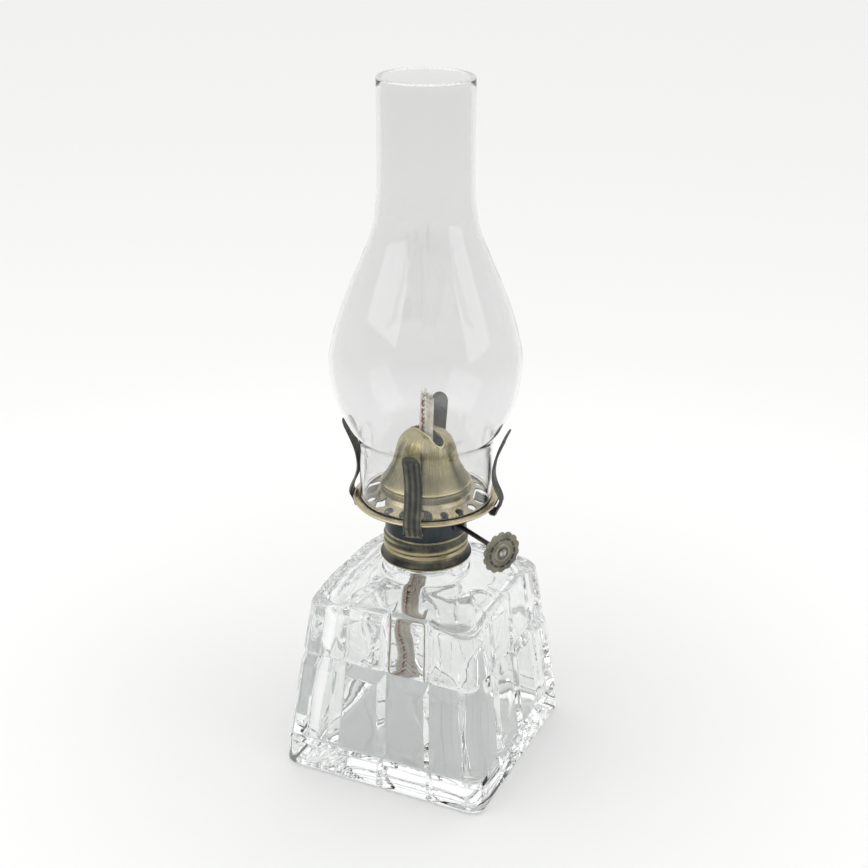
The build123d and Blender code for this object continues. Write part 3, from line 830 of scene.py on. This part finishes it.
def prong_strip(side, azimuth):
    """Vertices, faces and wear of the strip, whose three flutes stop below its round tip."""
    line = curve_through(prong_outline, 9) + (0, prong_rise.get(side, 0))
    steps = np.linalg.norm(np.diff(line, axis=0), axis=1)
    place = np.concatenate([[0], np.cumsum(steps)])
    length = place[-1]
    tip_radius = prong_width / 2
    tip = [length - tip_radius * (1 - cos(pi / 2 * k / 12)) for k in range(12, -1, -1)]
    flute_end = length - flute_end_gap
    marks = {round(x, 3) for x in list(np.linspace(0, length - tip_radius, 60)) + tip}
    marks = sorted(marks | {flute_end - 0.5, flute_end - 0.2, flute_end, flute_end + 0.3})
    across = np.linspace(-1, 1, 37)
    front, back, wear_and_painted_light = [], [], []
    for mark in marks:
        x, z = (np.interp(mark, place, line[:, k]) for k in (0, 1))
        ahead, behind = (np.array([np.interp(m, place, line[:, k]) for k in (0, 1)])
                         for m in (min(mark + 0.4, length), max(mark - 0.4, 0)))
        tangent = (ahead - behind) / np.linalg.norm(ahead - behind)
        normal = np.array((tangent[1], -tangent[0]))
        gap = length - mark
        half = tip_radius
        if gap <= tip_radius:
            half = max(sqrt(max(tip_radius**2 - (tip_radius - gap) ** 2, 0)), 0.25)
        half += 0.55 * (1 - ramp(mark, 0.0, 3.0))
        offsets = across * half
        crest = flutes(offsets, 0.3)
        fluted = 1 - ramp(mark, flute_end - 0.4, flute_end)
        flute = crest * flute_height * fluted
        rubbed = ramp(np.abs(offsets), half - 0.5, half - 0.1)
        wear_and_light_level = 0.35 * (1 - fluted) + (0.05 + 0.45 * crest) * fluted + 0.55 * rubbed
        wear_and_painted_light.append(np.concatenate([wear_and_light_level, np.full(len(across), 0.2)]))
        edge = 0.22 * np.clip((np.abs(offsets) - half + 0.5) / 0.5, 0, 1) ** 2
        crown = 0.25 * (1 - (offsets / tip_radius) ** 2) * ramp(mark, flute_end - 0.2, flute_end + 0.8)
        for surface, depth in ((front, flute + crown - edge),
                               (back, flute * 0.6 + crown - prong_sheet + edge)):
            radius = x + normal[0] * depth
            height = z + normal[1] * depth
            surface.append(at_azimuth(azimuth, radius, offsets, height))
    vertices = np.vstack([np.vstack([f, b[::-1]]) for f, b in zip(front, back)])
    return vertices, tube_faces(len(marks), 2 * len(across)), np.concatenate(wear_and_painted_light)


def prong_hook(azimuth):
    """Vertices, faces and brightness of the fluted tab that hooks under the gallery, partly wear and
    partly painted highlight.
    """
    hook = curve_through(hook_outline, 6)
    offsets = np.linspace(-prong_width / 2, prong_width / 2, 31)
    flute = hook_flute_height * flutes(offsets, 0.4)
    across = np.concatenate([offsets, offsets[::-1]])
    depths = np.concatenate([0.35 + flute, np.full(len(offsets), -0.4)])
    strip = []
    for step, point in enumerate(hook):
        along = hook[min(step + 1, len(hook) - 1)] - hook[max(step - 1, 0)]
        normal = np.array((along[1], -along[0])) / np.linalg.norm(along)
        radius, height = (point[k] + normal[k] * depths for k in (0, 1))
        strip.append(at_azimuth(azimuth, radius, across, height))
    # The flute crests are painted bright: rubbed brass, and a painted highlight of the tab catching the
    # light.
    wear_and_light_level = np.concatenate([0.25 + 1.6 * flute, np.full(len(offsets), 0.3)])
    return np.vstack(strip), tube_faces(len(hook), len(across)), np.tile(wear_and_light_level, len(hook))


def make_prong(side, azimuth):
    *strip, strip_wear = prong_strip(side, azimuth)
    *hook, hook_wear_and_highlight = prong_hook(azimuth)
    vertices, faces = joined([strip, hook])
    add_piece("prong_strip_" + side, vertices, faces, prong_bronze, "spring_" + side,
              ["prong_" + side], 30, np.concatenate([strip_wear, hook_wear_and_highlight]))


# ---------------------------------------------------------------- screw cap

cap_rib_span = (117.0, 124.6)
cap_skirt_radius = 21.7
cap_thread_radius = 20.95
cap_rib_radius = 21.75


def make_cap():
    """Threaded cap of drawn brass: flared lower edge, plain skirt, rolled thread and a top turned in to
    a ring.
    """
    step = cap_rib_span[0] + 1.1
    flare = curve_through([(23.25, 112.75), (22.7, 113.0), (22.1, 113.7), (cap_skirt_radius, 114.9)], 5)
    profile = [(22.0, 112.2)] + arc((22.9, 112.4), 0.5, -150, 45, 10) + list(flare)[1:]
    lip_end = 11
    profile += straight((cap_skirt_radius, 115.1), (cap_skirt_radius, step - 0.7), 12)
    profile += straight((cap_skirt_radius, step - 0.5), (cap_thread_radius, step + 0.9), 6)
    profile += straight((cap_thread_radius, step + 1.1), (cap_thread_radius, 126.2), 44)
    profile += [(20.93, 126.4), (20.8, 126.75), (20.45, 127.05), (20.0, 127.1), (18.2, 127.1)]
    columns = 256
    angles = full_turn(columns)

    def crest(height):
        """Rolled thread: 1 on its crest, 0 between the turns and beyond its ends."""
        gap = helix_distance(angles, height, thread_pitch, *thread_phase)
        inside = ramp(height - gap, cap_rib_span[0], cap_rib_span[0] + 1.2)
        inside = inside * (1 - ramp(height - gap, cap_rib_span[1] - 1.2, cap_rib_span[1]))
        return (0.5 - 0.5 * np.cos(pi * ridge(gap, 1.75, 0.3))) * inside

    def rib(_angles, radius, height):
        return np.maximum(cap_rib_radius - radius, 0) * crest(height) if 115 < height < 126 else 0.0

    # Brightness along the cap: the top and the step are worn bright; the thread crests are worn bright
    # and also painted highlights; the foot of the skirt and the flare are dark as painted shade; the
    # rolled lip is a painted highlight.
    wear_and_painted_light = []
    for place, (radius, height) in enumerate(profile):
        if height > 126:
            wear_and_light_level = np.full(columns, 0.75)
        elif height > step + 0.9:
            wear_and_light_level = 0.2 + 0.85 * crest(height) ** 2
        elif height > step - 0.7:
            wear_and_light_level = np.full(columns, 0.85)
        elif height > 115:
            wear_and_light_level = np.full(columns, 0.3 * ramp(height, 115.0, 116.6))
        else:
            wear_and_light_level = np.full(columns, 0.95 if place < lip_end else -0.2)
        wear_and_painted_light.append(wear_and_light_level)
    vertices, faces = turned(profile, columns, rib)
    piece = add_piece("burner_cap", vertices, faces, cap_brass, "burner",
                      ["screw_cap"], 60, np.concatenate(wear_and_painted_light))
    thicken(piece, 0.4)


# ---------------------------------------------------------------- winding wheel

wheel_radius = 10.65
wheel_thickness = 1.4
scallop_count = 14
boss_ring = (3.4, 4.6)
dash_circle = 7.2
dash_count = 12
dash_size = (2.6, 0.8)


def wheel_relief(radii, angles):
    """Height of the wheel's stamped face above its flat, and how worn it is there."""
    ring = ramp(radii, boss_ring[0] - 0.25, boss_ring[0] + 0.2)
    ring = ring * (1 - ramp(radii, boss_ring[1] - 0.2, boss_ring[1] + 0.35))
    step = 2 * pi / dash_count
    local = (angles + step / 2) % step - step / 2
    out = np.abs(radii * np.cos(local) - dash_circle) - dash_size[1] / 2
    side = np.abs(radii * np.sin(local)) - dash_size[0] / 2
    dash = 1 - ramp(np.maximum(out, side), -0.05, 0.3)
    rim = 1 - ramp(radii, wheel_radius - 1.1, wheel_radius - 0.1)
    return 0.45 * ring + 0.45 * dash - 0.3 * (1 - rim), 0.5 + 0.3 * ring - 0.6 * dash + 0.25 * (1 - rim)


def make_wheel():
    """Scalloped wheel with a raised ring, dashes round it, and a hub behind."""
    along = Vector(shaft_outwards).normalized()
    beside = Vector((-sin(shaft_azimuth), cos(shaft_azimuth), 0))
    axis_point = Vector(shaft_point)
    blank = frame["nodes"]["thumbwheel"].data
    far = max((Vector(v.co) / MM - axis_point).dot(along) for v in blank.vertices)
    face = far - 0.4
    columns = 336
    angles = full_turn(columns)
    outline = 1 - 0.085 * (0.5 + 0.5 * np.cos(scallop_count * angles)) ** 2.2
    inner = np.linspace(1.3, 9.0, 46)
    outer = np.linspace(9.15, wheel_radius, 12)
    rings, wear_and_painted_light = [], []

    def ring(radii, depth, wear_and_light_level):
        rings.append(polar(angles, radii, depth))
        wear_and_painted_light.append(np.broadcast_to(wear_and_light_level, angles.shape))

    for radius in list(inner) + list(outer):
        shrink = 1 - (1 - outline) * ramp(radius, 6.0, wheel_radius)
        radii = radius * shrink
        relief, wear_and_light_level = wheel_relief(radii, angles)
        ring(radii, face + relief, wear_and_light_level)
    edge = wheel_radius * outline
    for grow, depth in ((0.08, -0.42), (0.12, -0.7), (0.1, -1.0), (-0.02, -1.3),
                        (-0.3, -wheel_thickness)):
        ring(edge + grow, face + depth, 0.3 + 0.5 * (grow > 0.09))
    for radius, behind in ((8.5, 0), (6.0, 0), (3.2, 0), (2.6, 0.4), (2.5, 1.9), (2.2, 2.1), (1.3, 2.1)):
        ring(radius, face + (-wheel_thickness - behind), 0.35)
    basis = np.array([list(beside), (0, 0, 1), list(along)])
    vertices = np.vstack(rings) @ basis + np.array(axis_point)
    faces = grid_faces(len(rings), columns, wrap=True)
    add_piece("winding_wheel", vertices, [tuple(reversed(f)) for f in faces], wheel_brass, "winder",
              ["thumbwheel"], 35, np.concatenate(wear_and_painted_light))


# ---------------------------------------------------------------- wick

wick_top = 198.0
# (drift from the axis, height, turn in degrees)
wick_spine = [(8.0, 33.6, 35), (9.0, 50.0, 35), (9.5, 70.0, 25), (7.0, 88.0, 10), (3.2, 99.0, 0),
              (0.5, 107.0, 0), (0.0, 114.0, 0), (0.0, 130.0, 0), (0.0, 150.0, 0), (0.0, 168.0, 0),
              (-0.1, 182.0, 0), (-0.6, wick_top, 0)]
wick_drift = radians(204.8)
strand_count = 14
braid_columns = 5
yarn_radius = 0.74
braid_pitch = 33.0
braid_relief = 0.55
yarn_sides = 6
tuft_count = 34
tracer_place = -1.3
tracer_stitch = 4.5


def wick_frame(spine, height):
    """Centre, width direction and face direction of the wick at a height."""
    drift = np.interp(height, spine[:, 1], spine[:, 0])
    turn = radians(np.interp(height, spine[:, 1], spine[:, 2])) + shaft_azimuth
    centre = np.array((drift * cos(wick_drift), drift * sin(wick_drift), height))
    return centre, np.array((cos(turn), sin(turn), 0)), np.array((sin(turn), -cos(turn), 0))


def wick_half_size(height):
    """Half width, half thickness and relief of the wick, squeezed where it runs in the tube."""
    above = ramp(height, 184.5, 190)
    below = 1 - ramp(height, 96, 104)
    loose = above + below
    return 5.2 - 0.7 * above, 1.2 + 0.25 * loose, braid_relief * (0.45 + 0.55 * loose)


def tube_along(points, radius, sides):
    """Vertices and faces of a round thread along a line of points."""
    points = np.array(points)
    tangents = np.gradient(points, axis=0)
    tangents /= np.linalg.norm(tangents, axis=1)[:, None]
    side = np.cross(tangents, (0.3, 0.2, 1.0))
    side /= np.linalg.norm(side, axis=1)[:, None]
    over = np.cross(tangents, side)
    radius = np.broadcast_to(radius, (len(points),))
    vertices = []
    for k in range(len(points)):
        for step in range(sides):
            angle = 2 * pi * step / sides
            vertices.append(points[k] + radius[k] * (side[k] * cos(angle) + over[k] * sin(angle)))
    return vertices, tube_faces(len(points), sides)


def wick_point(spine, height, turn, over):
    """Point of a yarn at a height and a turn about the spine.

    over runs from -1, under the others, to 1, on top."""
    half_width, half_depth, relief = wick_half_size(height)
    lift = relief * over
    x = np.sign(cos(turn)) * abs(cos(turn)) ** 0.8 * (half_width - yarn_radius + 0.5 * lift)
    y = np.sign(sin(turn)) * abs(sin(turn)) ** 0.5 * (half_depth - yarn_radius + lift)
    centre, width_way, face_way = wick_frame(spine, height)
    return centre + x * width_way + y * face_way


def make_wick():
    """Flat tubular braid round a core, with a frayed end and a red tracer yarn.

    Each yarn floats over the ones it crosses in one column, and under them in the next."""
    spine = curve_through(wick_spine, 8)
    low = wick_spine[0][1]
    heights = np.arange(low, wick_top, 0.55)
    strands = []
    raised = []
    for direction in (-1, 1):
        for strand in range(strand_count):
            line = []
            for height in heights:
                turn = 2 * pi * (direction * (height - low) / braid_pitch + strand / strand_count)
                over = direction * cos(braid_columns * turn)
                line.append(wick_point(spine, height, turn, over))
                # How raised each yarn is here; the material paints the lower ones darker as painted
                # shade.
                raised += [0.5 + 0.5 * over] * yarn_sides
            strands.append(tube_along(line, yarn_radius, yarn_sides))
    core = []
    around = [2 * pi * k / 24 for k in range(24)]
    core_heights = np.arange(low + 0.5, wick_top - 0.6, 3.0)
    for height in core_heights:
        half_width, half_depth = wick_half_size(height)[:2]
        centre, width_way, face_way = wick_frame(spine, height)
        for a in around:
            core.append(centre + (half_width - 1.1) * cos(a) * width_way
                        + (half_depth - 0.95) * sin(a) * face_way)
    strands.append((core, tube_faces(len(core_heights), len(around))))
    # The core counts as lowest, so it is painted darkest as painted shade.
    raised += [0.0] * len(core)
    half_width = wick_half_size(wick_top)[0]
    centre, width_way, face_way = wick_frame(spine, wick_top - 1.5)
    for tuft in range(tuft_count):
        fine = tuft % 3 == 0
        start = (centre + random.uniform(-0.9, 0.9) * half_width * width_way
                 + random.uniform(-0.8, 0.8) * face_way)
        reach = random.uniform(4.5, 8.0) if fine else random.uniform(2.0, 3.6)
        lean = random.uniform(-1, 1) * width_way + random.uniform(-0.5, 0.5) * face_way
        curl = random.uniform(-1, 1) * width_way + random.uniform(-0.5, 0.5) * face_way
        along = np.linspace(0, 1, 13)
        line = [start + np.array((0, 0, reach * (t - 0.25 * t**3))) + lean * 1.5 * t**2
                + curl * 1.1 * sin(4.2 * t) * t for t in along]
        thread = 0.16 if fine else 0.4
        strands.append(tube_along(line, thread * (1 - 0.55 * along), 5))
    vertices, faces = joined(strands)
    raised += [1.0] * (len(vertices) - len(raised))
    add_piece("braided_wick", vertices, faces, cotton, "wick_strip", ["wick"], 80,
              raised)
    line = []
    for height in heights:
        half_depth = wick_half_size(height)[1]
        shown = 0.7 * sin(2 * pi * height / tracer_stitch) + 0.1
        centre, width_way, face_way = wick_frame(spine, height)
        line.append(centre + tracer_place * width_way + (half_depth + min(shown, 0.35)) * face_way)
    vertices, faces = tube_along(line, 0.55, 6)
    add_piece("wick_tracer", vertices, faces, tracer_red, "wick_strip", (), 80)


# ---------------------------------------------------------------- CAD nodes that stay

def finish_cad_nodes():
    """Materials of the CAD nodes that no mesh piece stands for."""
    kept = {"neck_gasket": fibre, "burner_drum": dark_brass, "shaft_bush": dark_brass,
            "wick_shaft": shaft_metal, "wheel_rivet": rivet_steel}
    for node in ("tube_plate", "wick_tube", "vent_tube", "shaft_bracket",
                 "toothed_wheel_inner", "toothed_wheel_outer"):
        kept[node] = antique_brass
    for node, material in kept.items():
        mesh = frame["nodes"][node].data
        mesh.materials.clear()
        mesh.materials.append(material)


# ---------------------------------------------------------------- floor, light and camera

def make_floor():
    """Round pale floor with painted shade and light: darker close round the lamp, brightest a little way
    behind and around it, slightly darker beyond.
    """
    material, nodes = new_material("floor")
    coords = nodes.object_coords()
    distance = nodes.add("ShaderNodeVectorMath", {0: coords}, operation="LENGTH").outputs["Value"]
    # Painted shade near the lamp and painted light a little way out: darkest under the lamp, lightest at
    # about 0.4 m, slightly darker beyond.
    near = nodes.span(distance, 0.05, 0.4)
    far = nodes.span(distance, 0.46, 0.62)
    colour = nodes.mix(near, (0.77, 0.77, 0.765, 1), (0.85, 0.85, 0.848, 1))
    colour = nodes.mix(far, colour, (0.83, 0.83, 0.825, 1))
    grain = nodes.noise(900.0, 2.0, coords)
    nodes.principled({
        "Base Color": colour, "Roughness": 0.85, "Specular IOR Level": 0.1,
        "Normal": nodes.bump(grain, 0.05, 0.0005)})
    columns = 96
    vertices, faces = turned([(200, 0), (600, 0), (2000, 0), (12000, 0)], columns)
    mesh = bpy.data.meshes.new("floor")
    vertices = np.vstack([vertices, (0, 0, 0)]) * MM
    middle = len(vertices) - 1
    faces = [tuple(reversed(face)) for face in faces]
    faces += [(middle, k, (k + 1) % columns) for k in range(columns)]
    mesh.from_pydata([tuple(v) for v in vertices], [], faces)
    mesh.materials.append(material)
    floor = add_object("floor", mesh)


camera_place = Vector((0.2919, -0.6211, 0.4738))
camera_forward = Vector((-0.3857, 0.8332, -0.3963))
camera_roll = radians(0.13)
camera_lens = 62.08


def make_world():
    """Bright overhead, a pale room behind, a darker one on the camera's side, a pale horizon."""
    world = bpy.data.worlds.new("studio")
    bpy.context.scene.world = world
    world.use_nodes = True
    nodes = Nodes(world.node_tree)
    direction = nodes.add("ShaderNodeTexCoord").outputs["Generated"]
    split = nodes.add("ShaderNodeSeparateXYZ", {0: direction})
    away = Vector((camera_forward.x, camera_forward.y, 0)).normalized()
    dot = nodes.add("ShaderNodeVectorMath", {0: direction, 1: tuple(away)}, operation="DOT_PRODUCT")
    behind = dot.outputs["Value"]
    room = nodes.span(behind, -0.55, 0.45, 0.6, 0.88)
    low = nodes.mix(nodes.span(split.outputs["Z"], 0.0, 0.16), (0.88, 0.88, 0.878, 1), room)
    high = nodes.span(split.outputs["Z"], 0.22, 0.72)
    level = nodes.mix(high, low, (1.16, 1.16, 1.155, 1))
    background = nodes.add("ShaderNodeBackground", {"Color": level, "Strength": 1.0})
    nodes.surface(background, "ShaderNodeOutputWorld")


def add_area_light(name, place, target, size, power):
    """Rectangular light, aimed at a target."""
    data = bpy.data.lights.new(name, "AREA")
    data.shape = "RECTANGLE"
    data.size, data.size_y = size
    data.energy = power
    light = add_object(name, data)
    light.location = place
    light.rotation_euler = (Vector(target) - Vector(place)).to_track_quat("-Z", "Y").to_euler()


def make_camera():
    """Camera that sees the lamp as the photo does."""
    data = bpy.data.cameras.new("camera")
    data.lens = camera_lens
    data.sensor_width = 36.0
    data.clip_start = 0.01
    camera = add_object("camera", data)
    back = -camera_forward.normalized()
    right = Vector((0, 0, 1)).cross(back).normalized()
    up = back.cross(right)
    turn = Matrix((right, up, back)).transposed().to_4x4()
    camera.matrix_world = Matrix.Translation(camera_place) @ turn @ Matrix.Rotation(camera_roll, 4, "Z")
    bpy.context.scene.camera = camera


make_camera()
make_world()
make_floor()
add_area_light("key_light", (-0.55, -0.75, 0.95), (0, 0, 0.18), (1.1, 1.1), 3.4)
add_area_light("side_light", (0.95, 0.05, 0.7), (0, 0, 0.18), (0.7, 0.9), 1.7)
make_font()
make_chimney()
make_dome()
make_gallery()
for side, azimuth in prong_azimuths.items():
    make_prong(side, azimuth)
make_cap()
make_wheel()
make_wick()
finish_cad_nodes()

scene = bpy.context.scene
scene.view_settings.view_transform = "Standard"
scene.cycles.max_bounces = 32
scene.cycles.transmission_bounces = 32
scene.cycles.transparent_max_bounces = 24
scene.cycles.glossy_bounces = 12
scene.cycles.diffuse_bounces = 4
